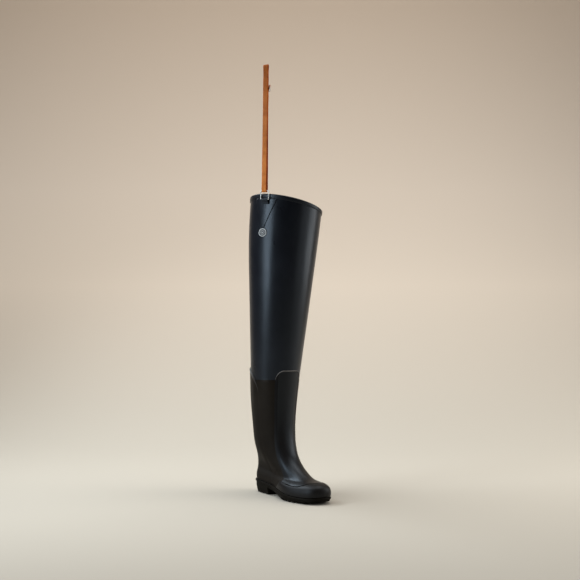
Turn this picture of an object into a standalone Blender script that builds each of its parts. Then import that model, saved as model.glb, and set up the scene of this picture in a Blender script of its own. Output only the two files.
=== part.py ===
"""Thigh-high rubber wader for the right foot, made of the pieces that a boot maker puts together.

Metres, +Z up, +X towards the toe, +Y towards the inner side of the leg. Shapes are worked out on the
last, whose x starts at the back of the heel. All pieces hang on one empty, which brings the middle of
the heel's tread to the origin.
"""

import math
from collections import namedtuple

import bpy
import numpy as np

# Driving dimensions

HEEL_CENTRE = 0.046  # from the back of the heel to the middle of its tread
WALL = 0.0022  # rubber and its lining
SEAT_GAP = 0.0003  # between pieces that lie flat on each other
SKIN_GAP = 0.00045  # between two curved skins, which also takes up their facets
PANEL_GAP = 0.0008  # below the rand and the large panels, whose facets are longer
AROUND = 30  # points round each section of the upper
LAYER_LOW = 0.0014  # level of the layers' lower edges, just over the sole's ledge

INSOLE = 0.0035
INSOLE_PLAY = 0.0012  # from the insole's edge to the inside of the upper

RAND = 0.0022  # the band round the toe and the ball
RAND_SIDE = 0.0240  # level of its upper edge along the sides
RAND_TOE = 0.0165  # how much higher that edge is over the toe
RAND_FRONT = math.radians(20)  # from the toe's middle, where the edge starts to fall
RAND_FLANK = math.radians(60)  # and where it has fallen
RAND_END = math.radians(93)  # how far the band runs from the toe's middle
RAND_SLANT = math.radians(9)  # how much less far it runs at its upper edge

PANEL = 0.0012  # the second layer of rubber over the shin, vamp, calf and heel
PANEL_PART = 0.0014  # between the rand's edge and the shin panel's
SHIN_TOP = 0.3465  # height of the shin panel's upper edge
SHIN_CORNER = 0.036  # how far its rounded corners drop
SHIN_STRAIGHT = 0.45  # share of that edge that runs straight
CALF_TOP = 0.3505
CALF_CORNER = 0.075
CALF_STRAIGHT = 0.30
CALF_REACH = math.radians(100)  # how far the calf panel runs from the back
HEEL_REACH = math.radians(72)  # and how far at the heel
HEEL_TOP = 0.02  # level where it starts to widen
CALF_START = 0.16  # level where it has widened

BINDING_TALL = 0.009
BINDING_WALL = 0.0009
BINDING_EASE = 0.0008  # taken off its edges

STRAP_TURN = math.radians(110.5)  # where the hip strap sits, from the back by the outer side
TURN_PER_METRE = 1 / 0.0984  # round the thigh at the strap
ANCHOR = 0.0010
ANCHOR_HALF = 0.0355  # half width of the strap's patch below the binding
ANCHOR_POINT = 0.002  # half width at its point
ANCHOR_LEAN = 0.0023  # how far that point lies towards the back
ANCHOR_GAP = 0.0008  # between the patch and the binding above it
ANCHOR_DROP = 0.0817  # from there to the middle of the badge
BADGE_WIDE = 0.0132  # half width of the oval badge
BADGE_TALL = 0.0104  # and half height
BADGE = 0.0010

RING_HALF = 0.0133  # from the middle of the wire loop to the middle of each leg
RING_WIRE = 0.0015
RING_BEND = 0.0025
RING_OUT = 0.0049  # the loop's plane, out from the wall
RING_LOW = -0.0150  # its lower bar, from the collar's edge
RING_HIGH = 0.0085
KEEPER = 0.0012
KEEPER_HALF = 0.0112

STRAP_WIDE = 0.016
STRAP = 0.0022
STRAP_PART = 0.0002  # from the strap's middle plane to each strand, where they lie together
STRAP_TALL = 0.3502  # from the collar's edge to the fold at the top
STRAP_CROWN = 0.005  # height of that fold
CROWN_SPREAD = 1.6  # how much wider the strands stand there than where they lie together
STRAP_LEAN = 0.006  # towards the leg, over the whole height
STRAP_JOIN = 0.237  # height where the two strands have come together
BUCKLE_WIRE = 0.0012
BUCKLE_BEND = 0.003
BUCKLE_LOW = 0.2762  # the bar that the tail goes under, from the collar's edge
BUCKLE_HIGH = 0.2917  # the bar that the strap's own end is folded round
BUCKLE_HALF = 0.0105
TAIL_PART = 0.0005  # between the tail and the fold that it passes over

# The last: one row for each section, from the feather edge on the sole up to the collar.
# back and front are the section's ends in side view, outer and inner its half widths. plan is the
# share of the foot's own outline against a plain oval, roll lifts the outer side, sway moves the
# section towards the inner side, and steps is the number of facets up to the next section.

Section = namedtuple("Section", "name back_x back_z front_x front_z outer inner plan roll sway steps")

SECTIONS = [
    Section("feather edge", 0.0050, 0.0370, 0.2938, 0.0195, 0.0495, 0.0470, 1.00, 0.0, 0.0, 2),
    Section("side wall", 0.0030, 0.0460, 0.2955, 0.0290, 0.0500, 0.0474, 1.00, 0.0, 0.0, 3),
    Section("toe crown", 0.0020, 0.0540, 0.2935, 0.0405, 0.0480, 0.0463, 0.97, 0.0, 0.0, 3),
    Section("toe top", 0.0005, 0.0640, 0.2800, 0.0490, 0.0410, 0.0418, 0.92, 0.0, 0.0, 2),
    Section("vamp", 0.0000, 0.0755, 0.2390, 0.0558, 0.0350, 0.0334, 0.82, 0.0, 0.0, 2),
    Section("vamp rise", 0.0015, 0.0875, 0.2015, 0.0705, 0.0355, 0.0355, 0.66, 0.0, 0.0, 2),
    Section("instep", 0.0048, 0.1005, 0.1708, 0.0895, 0.0403, 0.0402, 0.45, 0.0, 0.0, 2),
    Section("throat", 0.0068, 0.1165, 0.1470, 0.1160, 0.0462, 0.0460, 0.22, 0.0, 0.0, 2),
    Section("ankle", 0.0048, 0.1385, 0.1352, 0.1488, 0.0517, 0.0517, 0.06, 0.0, 0.0, 3),
    Section("lower leg", -0.0010, 0.1785, 0.1310, 0.1885, 0.0540, 0.0550, 0.00, 0.0, 0.0, 2),
    Section("calf", -0.0070, 0.2585, 0.1350, 0.2645, 0.0605, 0.0615, 0.00, 0.0, 0.0, 2),
    Section("knee", -0.0058, 0.3435, 0.1466, 0.3465, 0.0668, 0.0682, 0.00, 0.0005, 0.0, 2),
    Section("lower thigh", -0.0040, 0.4285, 0.1600, 0.4315, 0.0741, 0.0745, 0.00, 0.002, 0.0015, 2),
    Section("mid thigh", -0.0038, 0.5885, 0.1856, 0.5925, 0.0858, 0.0865, 0.00, 0.007, 0.004, 2),
    Section("upper thigh", -0.0020, 0.7185, 0.2025, 0.7235, 0.0945, 0.0950, 0.00, 0.014, 0.008, 2),
    Section("collar", 0.0045, 0.7975, 0.2145, 0.8030, 0.0957, 0.0962, 0.00, 0.0258, 0.010, 0),
]
SHAPE = np.array([row[1:10] for row in SECTIONS])
FOOT_BACK = SECTIONS[0].back_x
FOOT_LONG = SECTIONS[0].front_x - SECTIONS[0].back_x

# The foot's outline: half widths at stations along its length, and the round of its two ends.

Station = namedtuple("Station", "along outer inner")

OUTLINE = [
    Station(0.12, 0.0320, 0.0320),
    Station(0.40, 0.0375, 0.0330),
    Station(0.69, 0.0490, 0.0475),
    Station(0.88, 0.0375, 0.0400),
]
HEEL_ROUND = 0.033
TOE_ROUND = 0.040
TOE_SWING = 0.009  # the toe's lean to the inner side
SWING_START = 0.35

# Height of the sole's top along the foot: heel seat, arch, ball and toe spring.

Seat = namedtuple("Seat", "along height")

SEAT = [
    Seat(0.00, 0.0370),
    Seat(0.20, 0.0350),
    Seat(0.34, 0.0315),
    Seat(0.50, 0.0270),
    Seat(0.62, 0.0215),
    Seat(0.72, 0.0175),
    Seat(0.85, 0.0160),
    Seat(0.93, 0.0170),
    Seat(1.00, 0.0195),
]

# The sole's underside in side view, and the blocks of its tread.

Under = namedtuple("Under", "x height")

UNDERSIDE = [
    Under(0.0000, 0.0050),
    Under(0.0125, 0.0000),
    Under(0.0860, 0.0000),
    Under(0.0885, 0.0160),
    Under(0.1030, 0.0162),
    Under(0.1250, 0.0135),
    Under(0.1500, 0.0080),
    Under(0.1700, 0.0030),
    Under(0.1850, 0.0000),
    Under(0.2500, 0.0000),
    Under(0.2680, 0.0026),
    Under(0.2860, 0.0064),
    Under(0.3000, 0.0105),
]

Tread = namedtuple("Tread", "first block groove count")

TREADS = [
    Tread(0.0075, 0.0110, 0.0045, 5),
    Tread(0.1690, 0.0115, 0.0050, 7),
]
GROOVE_DEEP = 0.004
GROOVE_FLANK = 0.0008

# How far the middle of each block leads its ends, which makes the tread's chevrons.

Lead = namedtuple("Lead", "x forward")

LEADS = [
    Lead(0.008, 0.000),
    Lead(0.020, 0.004),
    Lead(0.080, 0.004),
    Lead(0.086, 0.002),
    Lead(0.150, 0.002),
    Lead(0.168, 0.007),
    Lead(0.250, 0.007),
    Lead(0.290, 0.000),
]

# The sole's side wall, from the tread up to the ledge that the upper stands on. share is the way up
# from the underside to a line this far below the seat; margin is out from the upper's feather edge,
# along the foot and at the heel.

SoleRow = namedtuple("SoleRow", "name share below margin heel_margin")

SOLE_ROWS = [
    SoleRow("tread edge", 0.00, 0.0000, -0.0015, -0.0012),
    SoleRow("side", 0.60, 0.0060, 0.0014, 0.0034),
    SoleRow("under the welt", 1.00, 0.0062, 0.0014, 0.0037),
    SoleRow("welt edge", 1.00, 0.0056, 0.0036, 0.0058),
    SoleRow("welt face", 1.00, 0.0012, 0.0036, 0.0058),
    SoleRow("ledge", 1.00, SEAT_GAP, 0.0028, 0.0050),
]
HEEL_END = 0.27  # where the heel's margins give way to the foot's, as a share of the length
WAIST_START = 0.36
END_ANGLES = (0, 11, 22, 34, 46, 134, 143, 152, 161, 171, 180)  # stations round the heel and the toe
STATION_APART = 0.0015  # the least share of the length between two stations

# Half the shin panel's sweep round the leg, by the level up the skin.

Sweep = namedtuple("Sweep", "level degrees")

SHIN_SWEEP = [
    Sweep(0.024, 84),
    Sweep(0.060, 70),
    Sweep(0.100, 56),
    Sweep(0.150, 44),
    Sweep(0.220, 38),
    Sweep(0.330, 37),
    Sweep(0.480, 37),
]

# The keeper's front strand below the loop: height over the strand behind it, and drop from the bar.

Fall = namedtuple("Fall", "lift drop")

KEEPER_BACK = (0.0120, 0.0070, 0.0030)
KEEPER_FRONT = [
    Fall(0.0027, 0.0025),
    Fall(0.0014, 0.0050),
    Fall(0.0003, 0.0080),
    Fall(0.0000, 0.0110),
]

# The strap's tail at the buckle: the share of its way from the strand out over the fold, and the
# height from the buckle's lower bar.

Tail = namedtuple("Tail", "share up")

TAIL = [
    Tail(0.00, -0.0220),
    Tail(0.00, -0.0060),
    Tail(0.00, 0.0000),
    Tail(0.25, 0.0045),
    Tail(0.85, 0.0095),
    Tail(1.00, 0.0145),
    Tail(0.97, 0.0190),
]


def spline(knots, values):
    """A natural cubic through the values at the knots, as a function of one array."""
    knots, values = np.asarray(knots, float), np.asarray(values, float)
    gap = np.diff(knots)
    slope = np.diff(values, axis=0) / gap.reshape(-1, *[1] * (values.ndim - 1))
    count = len(knots)
    system = np.eye(count)
    right = np.zeros_like(values)
    for i in range(1, count - 1):
        system[i, i - 1 : i + 2] = gap[i - 1], 2 * (gap[i - 1] + gap[i]), gap[i]
        right[i] = 6 * (slope[i] - slope[i - 1])
    bend = np.linalg.solve(system, right)

    def at(where):
        where = np.asarray(where, float)
        i = np.clip(np.searchsorted(knots, where, "right") - 1, 0, count - 2)
        shape = where.shape + (1,) * (values.ndim - 1)
        low = (where - knots[i]).reshape(shape)
        high = (knots[i + 1] - where).reshape(shape)
        span = gap[i].reshape(shape)
        return (
            (bend[i] * high**3 + bend[i + 1] * low**3) / (6 * span)
            + (values[i] / span - bend[i] * span / 6) * high
            + (values[i + 1] / span - bend[i + 1] * span / 6) * low
        )

    return at


def smooth_step(low, high, value):
    share = np.clip((value - low) / (high - low), 0, 1)
    return share * share * (3 - 2 * share)


def arc(middle, radius, start, end, count):
    """Points of an arc in one plane; angles in degrees."""
    angle = np.radians(np.linspace(start, end, count))
    return np.stack([middle[0] + radius * np.cos(angle), middle[1] + radius * np.sin(angle)], -1)


# The skin of the last, which every layer on the upper follows


def section_levels():
    """Distance up the skin to each section, as the mean of its back and front runs."""
    back = np.linalg.norm(np.diff(SHAPE[:, 0:2], axis=0), axis=1)
    front = np.linalg.norm(np.diff(SHAPE[:, 2:4], axis=0), axis=1)
    return np.concatenate([[0.0], np.cumsum((back + front) / 2)])


def outline_spline():
    """Half width of the foot over that of an oval of the same length, at stations along it."""
    widest = max(row.outer for row in OUTLINE)
    knots = [0.0]
    shares = [[math.sqrt(HEEL_ROUND * FOOT_LONG / 2) / widest] * 2]
    for row in OUTLINE:
        oval = 2 * math.sqrt(row.along * (1 - row.along))
        knots.append(row.along)
        shares.append([row.outer / widest / oval, row.inner / widest / oval])
    knots.append(1.0)
    shares.append([math.sqrt(TOE_ROUND * FOOT_LONG / 2) / widest] * 2)
    return spline(knots, shares)


LEVELS = section_levels()
shape_at = spline(LEVELS, SHAPE)
seat_height = spline([row.along for row in SEAT], [row.height for row in SEAT])
foot_share = outline_spline()


def skin(turn, level):
    """The upper's outer face. turn runs from the back (0) by the outer side to the front (pi) and on."""
    turn, level = np.broadcast_arrays(np.asarray(turn, float), np.asarray(level, float))
    back_x, back_z, front_x, front_z, outer, inner, plan, roll, sway = np.moveaxis(shape_at(level), -1, 0)
    along = (1 - np.cos(turn)) / 2
    across = np.sin(turn)
    shares = foot_share(along)
    is_outer = across >= 0
    share = np.where(is_outer, shares[..., 0], shares[..., 1])
    half = np.where(is_outer, outer, inner) * (1 - plan + plan * share)
    swing = TOE_SWING * plan * np.clip((along - SWING_START) / (1 - SWING_START), 0, 1) ** 2
    seat_line = SEAT[0].height + (SEAT[-1].height - SEAT[0].height) * along
    x = back_x + (front_x - back_x) * along
    y = sway + swing - half * across
    z = back_z + (front_z - back_z) * along + plan * (seat_height(along) - seat_line) + roll * across
    return np.stack([x, y, z], -1)


def skin_normal(turn, level):
    """Unit normals of the outer face, pointing out of the boot."""
    step_turn, step_level = 1e-3, 1e-4
    round_way = skin(turn + step_turn, level) - skin(turn - step_turn, level)
    up_way = skin(turn, level + step_level) - skin(turn, level - step_level)
    normal = np.cross(round_way, up_way)
    return normal / np.linalg.norm(normal, axis=-1, keepdims=True)


def raised(turn, level, height):
    """Points at this height over the outer face, or inside the wall where it is negative."""
    turn, level, height = np.broadcast_arrays(turn, level, height)
    return skin(turn, level) + height[..., None] * skin_normal(turn, level)


def level_at_height(turn, height):
    """Level on the skin of a height at this turn."""
    count = 400
    levels = np.linspace(LEVELS[0], LEVELS[-1], count)
    return float(np.interp(height, skin(np.full(count, turn), levels)[:, 2], levels))


# Making the pieces


def material(name, colour, roughness, metallic=0.0):
    made = bpy.data.materials.new(name)
    made.use_nodes = True
    shader = made.node_tree.nodes["Principled BSDF"]
    shader.inputs["Base Color"].default_value = (*colour, 1.0)
    shader.inputs["Roughness"].default_value = roughness
    shader.inputs["Metallic"].default_value = metallic
    return made


def mesh_object(name, points, faces, paint, root):
    mesh = bpy.data.meshes.new(name)
    mesh.from_pydata([tuple(point) for point in points], [], faces)
    mesh.materials.append(paint)
    piece = bpy.data.objects.new(name, mesh)
    piece.parent = root
    bpy.context.scene.collection.objects.link(piece)
    return piece


def thicken(piece, thickness, side):
    """Give a sheet its thickness to one side of it: 1 outwards, -1 inwards, 0 to both."""
    wall = piece.modifiers.new("Wall", "SOLIDIFY")
    wall.thickness = thickness
    wall.offset = side
    wall.use_even_offset = True
    wall.use_quality_normals = True
    return piece


def grid_faces(rows, columns, closed=False):
    """Faces of a grid of points, closed round its columns where it is a tube."""
    faces = []
    for i in range(rows - 1):
        for j in range(columns if closed else columns - 1):
            k = (j + 1) % columns
            faces.append((i * columns + j, i * columns + k, (i + 1) * columns + k, (i + 1) * columns + j))
    return faces


def sheet(name, grid, thickness, side, paint, root, closed=False):
    """A sheet over a grid of points."""
    faces = grid_faces(*grid.shape[:2], closed)
    return thicken(mesh_object(name, grid.reshape(-1, 3), faces, paint, root), thickness, side)


def wire(name, points, radius, paint, root):
    """A closed loop of round wire."""
    path = bpy.data.curves.new(name, "CURVE")
    path.dimensions = "3D"
    path.bevel_depth = radius
    path.bevel_resolution = 2
    path.materials.append(paint)
    run = path.splines.new("POLY")
    run.points.add(len(points) - 1)
    for point, place in zip(run.points, points):
        point.co = (*place, 1.0)
    run.use_cyclic_u = True
    piece = bpy.data.objects.new(name, path)
    piece.parent = root
    bpy.context.scene.collection.objects.link(piece)
    return piece


# The upper


def build_upper(paint, root):
    levels = [
        low + (high - low) * step / row.steps
        for row, low, high in zip(SECTIONS, LEVELS, LEVELS[1:])
        for step in range(row.steps)
    ]
    levels.append(LEVELS[-1])
    turn = np.arange(AROUND) * 2 * math.pi / AROUND
    return sheet("upper", skin(turn[None], np.array(levels)[:, None]), WALL, -1, paint, root, closed=True)


# The sole


def foot_edge(along, side, margin):
    """Points of the feather edge, moved out by a margin. side is 1 on the outer side, -1 on the inner."""
    step = 1e-3
    turn = side * np.arccos(np.clip(1 - 2 * along, -1, 1))
    edge = skin(turn, 0.0)[..., :2]
    way = skin(turn + step, 0.0)[..., :2] - skin(turn - step, 0.0)[..., :2]
    normal = np.stack([way[..., 1], -way[..., 0]], -1)
    normal /= np.linalg.norm(normal, axis=-1, keepdims=True)
    return edge + np.asarray(margin)[..., None] * normal


def sole_stations():
    """Stations along the sole and the depth of the tread's groove at each."""
    found = {}
    for angle in END_ANGLES:
        found[(1 - math.cos(math.radians(angle))) / 2] = 0.0
    for spot in UNDERSIDE[2:-3]:
        found[(spot.x - FOOT_BACK) / FOOT_LONG] = 0.0
    for tread in TREADS:
        for k in range(tread.count):
            start = tread.first + k * (tread.block + tread.groove)
            found[(start - FOOT_BACK) / FOOT_LONG] = 0.0
            found[(start + tread.block - FOOT_BACK) / FOOT_LONG] = 0.0
            if k < tread.count - 1:
                for edge in (GROOVE_FLANK, tread.groove - GROOVE_FLANK):
                    found[(start + tread.block + edge - FOOT_BACK) / FOOT_LONG] = GROOVE_DEEP
    along = np.array(sorted(found))
    along = along[np.concatenate([[True], np.diff(along) > STATION_APART])]
    return along, np.array([found[value] for value in along])


def sole_side(row, along, deep, side):
    """One side's points of a row of the sole."""
    heel = 1 - smooth_step(HEEL_END, WAIST_START, along)
    edge = foot_edge(along, side, row.margin + (row.heel_margin - row.margin) * heel)
    under = np.interp(edge[:, 0], [spot.x for spot in UNDERSIDE], [spot.height for spot in UNDERSIDE])
    bottom = under + deep * (row.share == 0)
    height = bottom + row.share * (seat_height(along) - row.below - bottom)
    return np.column_stack([edge, height])


def build_outsole(paint, root):
    """Rows of points round the sole, closed by its ledge and by the tread's blocks and grooves."""
    along, deep = sole_stations()
    last = len(along) - 1
    loop = 2 * last
    points = []
    for row in SOLE_ROWS:
        points += list(sole_side(row, along, deep, 1))
        points += list(sole_side(row, along, deep, -1)[1:-1][::-1])
    faces = grid_faces(len(SOLE_ROWS), loop, closed=True)

    def inner(k):
        return k if k in (0, last) else loop - k

    middle = [0]
    for k in range(1, last):
        centre = (np.array(points[k]) + np.array(points[inner(k)])) / 2
        lead = np.interp(centre[0], [row.x for row in LEADS], [row.forward for row in LEADS])
        middle.append(len(points))
        points.append(centre + np.array([lead, 0.0, 0.0]))
    middle.append(last)
    top = (len(SOLE_ROWS) - 1) * loop
    for k in range(last):
        for face in (
            (k, middle[k], middle[k + 1], k + 1),
            (middle[k], inner(k), inner(k + 1), middle[k + 1]),
            (top + k, top + k + 1, top + inner(k + 1), top + inner(k)),
        ):
            faces.append(tuple(dict.fromkeys(face)))
    return mesh_object("outsole", points, faces, paint, root)


def build_insole(paint, root):
    """A board between two edges and a middle line, which meet at the heel and at the toe."""
    count = 23
    along = (1 - np.cos(np.linspace(0, math.pi, count))) / 2
    margin = np.full(count, -(WALL + INSOLE_PLAY))
    outer = foot_edge(along, 1, margin)
    inner = foot_edge(along, -1, margin)
    height = seat_height(along)
    lines = [np.column_stack([edge, height]) for edge in (inner, (inner + outer) / 2, outer)]
    points = list(lines[0]) + list(lines[1][1:-1]) + list(lines[2][1:-1])

    def spot(line, k):
        if k in (0, count - 1) or line == 0:
            return k
        return count + (line - 1) * (count - 2) + k - 1

    faces = []
    for line in (0, 1):
        for k in range(count - 1):
            face = [spot(line, k), spot(line + 1, k), spot(line + 1, k + 1), spot(line, k + 1)]
            faces.append(tuple(dict.fromkeys(face)))
    return thicken(mesh_object("insole", points, faces, paint, root), INSOLE, 1)


# The second layers of rubber on the upper


def rand_top(turn):
    """Level of the rand's upper edge: high over the toe and lower along the sides."""
    front = np.abs(np.asarray(turn) - math.pi)
    return RAND_SIDE + RAND_TOE * (1 - smooth_step(RAND_FRONT, RAND_FLANK, front))


def build_rand(paint, root):
    rows, columns = 7, 29
    grid = np.empty((rows, columns, 3))
    for i, share in enumerate(np.linspace(0, 1, rows)):
        reach = RAND_END - RAND_SLANT * share
        turn = math.pi + np.linspace(-reach, reach, columns)
        grid[i] = raised(turn, LAYER_LOW + (rand_top(turn) - LAYER_LOW) * share, PANEL_GAP)
    return sheet("rand", grid, RAND, 1, paint, root)


def panel_edge(across, top, drop, straight):
    """Level along a panel's upper edge, which falls in a quarter oval at each corner."""
    corner = np.clip((np.abs(across) - straight) / (1 - straight), 0, 1)
    return top - drop * (1 - np.sqrt(1 - corner**2))


def build_shin_panel(paint, root):
    rows, columns = 19, 15
    crowding, settle = 1.35, 4
    across = np.linspace(-1, 1, columns)
    upper = panel_edge(across, level_at_height(math.pi, SHIN_TOP), SHIN_CORNER, SHIN_STRAIGHT)
    sweep_levels = [row.level for row in SHIN_SWEEP]
    sweep = np.radians([row.degrees for row in SHIN_SWEEP])
    grid = np.empty((rows, columns, 3))
    for i, share in enumerate(np.linspace(0, 1, rows) ** crowding):
        level = np.full(columns, RAND_SIDE)
        for _ in range(settle):
            turn = math.pi + across * np.interp(level, sweep_levels, sweep)
            low = rand_top(turn) + PANEL_PART
            level = low + (upper - low) * share
        grid[i] = raised(turn, level, PANEL_GAP)
    return sheet("shin_panel", grid, PANEL, 1, paint, root)


def build_calf_panel(paint, root):
    rows, columns = 23, 19
    crowding = 1.2
    across = np.linspace(-1, 1, columns)
    upper = panel_edge(across, level_at_height(0.0, CALF_TOP), CALF_CORNER, CALF_STRAIGHT)
    grid = np.empty((rows, columns, 3))
    for i, share in enumerate(np.linspace(0, 1, rows) ** crowding):
        level = LAYER_LOW + (upper - LAYER_LOW) * share
        reach = HEEL_REACH + (CALF_REACH - HEEL_REACH) * smooth_step(HEEL_TOP, CALF_START, level)
        grid[i] = raised(across * reach, level, PANEL_GAP)
    return sheet("calf_panel", grid, PANEL, 1, paint, root)


# The collar and the strap's anchor


def build_binding(paint, root):
    """A strip folded over the collar's edge: its section, as height over the skin and level."""
    out = SKIN_GAP + BINDING_WALL
    within = -WALL - SKIN_GAP
    low = LEVELS[-1] - BINDING_TALL
    seat = LEVELS[-1] + SEAT_GAP
    top = seat + BINDING_WALL
    profile = [
        (out - BINDING_EASE / 2, low),
        (out, low + BINDING_EASE),
        (out, top - BINDING_EASE),
        (out - BINDING_EASE, top),
        (within - BINDING_WALL + BINDING_EASE, top),
        (within - BINDING_WALL, top - BINDING_EASE),
        (within - BINDING_WALL, low),
        (within, low),
        (within, seat),
        (SKIN_GAP, seat),
        (SKIN_GAP, low),
    ]
    turn = np.arange(AROUND) * 2 * math.pi / AROUND
    points = [point for height, level in profile for point in raised(turn, level, height)]
    faces = grid_faces(len(profile), AROUND, closed=True)
    last = (len(profile) - 1) * AROUND
    for j in range(AROUND):
        k = (j + 1) % AROUND
        faces.append((last + j, last + k, k, j))
    return mesh_object("collar_binding", points, faces, paint, root)


ANCHOR_TOP = LEVELS[-1] - BINDING_TALL - ANCHOR_GAP
BADGE_LEVEL = ANCHOR_TOP - ANCHOR_DROP
BADGE_TURN = STRAP_TURN - ANCHOR_LEAN * TURN_PER_METRE


def build_anchor(paint, root):
    """The patch: a wedge whose point ends at the badge."""
    rows, columns = 9, 7
    tall = ANCHOR_DROP - BADGE_TALL - SKIN_GAP
    grid = np.empty((rows, columns, 3))
    for i, share in enumerate(np.linspace(1, 0, rows)):
        half = ANCHOR_HALF + (ANCHOR_POINT - ANCHOR_HALF) * share
        side = np.linspace(-half, half, columns) - ANCHOR_LEAN * share
        grid[i] = raised(STRAP_TURN + side * TURN_PER_METRE, ANCHOR_TOP - tall * share, SKIN_GAP)
    return sheet("strap_anchor", grid, ANCHOR, 1, paint, root)


def build_badge(paint, root):
    around = 20
    angle = np.arange(around) * 2 * math.pi / around
    points = [raised(BADGE_TURN, BADGE_LEVEL, SKIN_GAP)]
    for share in (0.5, 1.0):
        turn = BADGE_TURN + share * BADGE_WIDE * np.cos(angle) * TURN_PER_METRE
        level = BADGE_LEVEL + share * BADGE_TALL * np.sin(angle)
        points += list(raised(turn, level, SKIN_GAP))
    faces = []
    for j in range(around):
        k = (j + 1) % around
        faces.append((0, 1 + j, 1 + k))
        faces.append((1 + j, 1 + around + j, 1 + around + k, 1 + k))
    return thicken(mesh_object("badge", points, faces, paint, root), BADGE, 1)


def strap_place(out, side, up):
    """A point in the strap's own frame: out from the wall, round it, and up from the collar's edge."""
    foot = skin(STRAP_TURN, LEVELS[-1])
    normal = skin_normal(STRAP_TURN, LEVELS[-1])
    away = np.array([normal[0], normal[1], 0.0])
    away /= np.linalg.norm(away)
    round_way = np.array([-away[1], away[0], 0.0])
    return foot + out * away + side * round_way + up * np.array([0.0, 0.0, 1.0])


def ribbon(name, run, half, thickness, paint, root):
    """A flat strip along a run of (out, up) points."""
    grid = np.array([[strap_place(out, side, up) for out, up in run] for side in (-half, 0.0, half)])
    return sheet(name, grid, thickness, 0, paint, root)


def build_keeper(paint, root):
    """A rubber strip folded round the loop's lower bar, with both ends bonded to the patch."""
    round_bar = RING_WIRE + SEAT_GAP + KEEPER / 2
    back = RING_OUT - round_bar
    front = back + KEEPER + SEAT_GAP
    run = [(back, RING_LOW - drop) for drop in KEEPER_BACK]
    run += [tuple(point) for point in arc((RING_OUT, RING_LOW), round_bar, 180, 0, 9)]
    run += [(front + row.lift, RING_LOW - row.drop) for row in KEEPER_FRONT]
    return ribbon("ring_keeper", run, KEEPER_HALF, KEEPER, paint, root)


# The hip strap and its wire


def rounded_frame(half, low, high, bend):
    """The middle line of a rectangular loop of wire, as (side, up)."""
    corners = [
        ((half - bend, high - bend), 0),
        ((-half + bend, high - bend), 90),
        ((-half + bend, low + bend), 180),
        ((half - bend, low + bend), 270),
    ]
    return np.concatenate([arc(middle, bend, start, start + 90, 5) for middle, start in corners])


def build_ring(paint, root):
    line = rounded_frame(RING_HALF, RING_LOW, RING_HIGH, RING_BEND)
    return wire("strap_loop", [strap_place(RING_OUT, side, up) for side, up in line], RING_WIRE, paint, root)


def lean(up):
    """Middle of the strap's two strands at this height."""
    return RING_OUT - STRAP_LEAN * up / STRAP_TALL


STRAND = STRAP / 2 + STRAP_PART  # from the strap's middle plane to the middle of each strand
BUCKLE_FOLD = BUCKLE_WIRE + SEAT_GAP + STRAP / 2  # round of the strap's fold on the buckle
BUCKLE_OUT = lean(BUCKLE_HIGH) - STRAND - BUCKLE_FOLD


def build_strap(paint, root):
    """One strip: from its fold on the buckle up and over the top, down round the loop and up to its tail."""
    run = [tuple(point) for point in arc((BUCKLE_OUT, BUCKLE_HIGH), BUCKLE_FOLD, 200, 360, 7)]
    crown = STRAP_TALL - STRAP / 2 - STRAP_CROWN
    below_crown = crown - 2 * STRAP_CROWN
    for up in np.linspace(BUCKLE_HIGH + 3 * BUCKLE_FOLD, below_crown, 3):
        run.append((lean(up) - STRAND, up))
    for angle in np.radians(np.linspace(180, 0, 7)):
        out = lean(crown) + CROWN_SPREAD * STRAND * math.cos(angle)
        run.append((out, crown + STRAP_CROWN * math.sin(angle)))
    for up in np.linspace(below_crown, STRAP_JOIN, 5)[:-1]:
        run.append((lean(up) + STRAND, up))
    round_bar = RING_WIRE + SEAT_GAP + STRAP / 2
    climb = np.linspace(0, STRAP_JOIN, 8)[1:]
    part = STRAND + (round_bar - STRAND) * (1 - smooth_step(0, STRAP_JOIN, climb))
    run += list(zip(lean(climb) + part, climb))[::-1]
    run += [tuple(point) for point in arc((RING_OUT, RING_HIGH), round_bar, 0, -180, 9)]
    run += list(zip(lean(climb) - part, climb))
    near = lean(BUCKLE_LOW) - STRAND
    over = BUCKLE_OUT - BUCKLE_FOLD - STRAP - TAIL_PART
    run += [(near + (over - near) * row.share, BUCKLE_LOW + row.up) for row in TAIL]
    return ribbon("hip_strap", run, STRAP_WIDE / 2, STRAP, paint, root)


def build_buckle(paint, root):
    line = rounded_frame(BUCKLE_HALF, BUCKLE_LOW, BUCKLE_HIGH, BUCKLE_BEND)
    return wire("buckle", [strap_place(BUCKLE_OUT, side, up) for side, up in line], BUCKLE_WIRE, paint, root)


def main():
    for old in list(bpy.data.objects):
        bpy.data.objects.remove(old, do_unlink=True)
    root = bpy.data.objects.new("boot", None)
    root.location = (-HEEL_CENTRE, 0.0, 0.0)
    bpy.context.scene.collection.objects.link(root)

    shaft = material("shaft rubber", (0.016, 0.018, 0.026), 0.42)
    layer = material("panel rubber", (0.013, 0.013, 0.016), 0.46)
    tread = material("sole rubber", (0.012, 0.012, 0.013), 0.60)
    sock = material("insole felt", (0.10, 0.10, 0.10), 0.95)
    leather = material("tan leather", (0.36, 0.15, 0.055), 0.55)
    steel = material("steel wire", (0.60, 0.60, 0.58), 0.25, 1.0)
    disc = material("badge rubber", (0.42, 0.44, 0.45), 0.50)

    build_upper(shaft, root)
    build_outsole(tread, root)
    build_insole(sock, root)
    build_rand(layer, root)
    build_shin_panel(layer, root)
    build_calf_panel(layer, root)
    build_binding(layer, root)
    build_anchor(layer, root)
    build_badge(disc, root)
    build_keeper(layer, root)
    build_ring(steel, root)
    build_strap(leather, root)
    build_buckle(steel, root)


if __name__ == "__main__":
    main()
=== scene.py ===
import math
from collections import namedtuple

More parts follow.
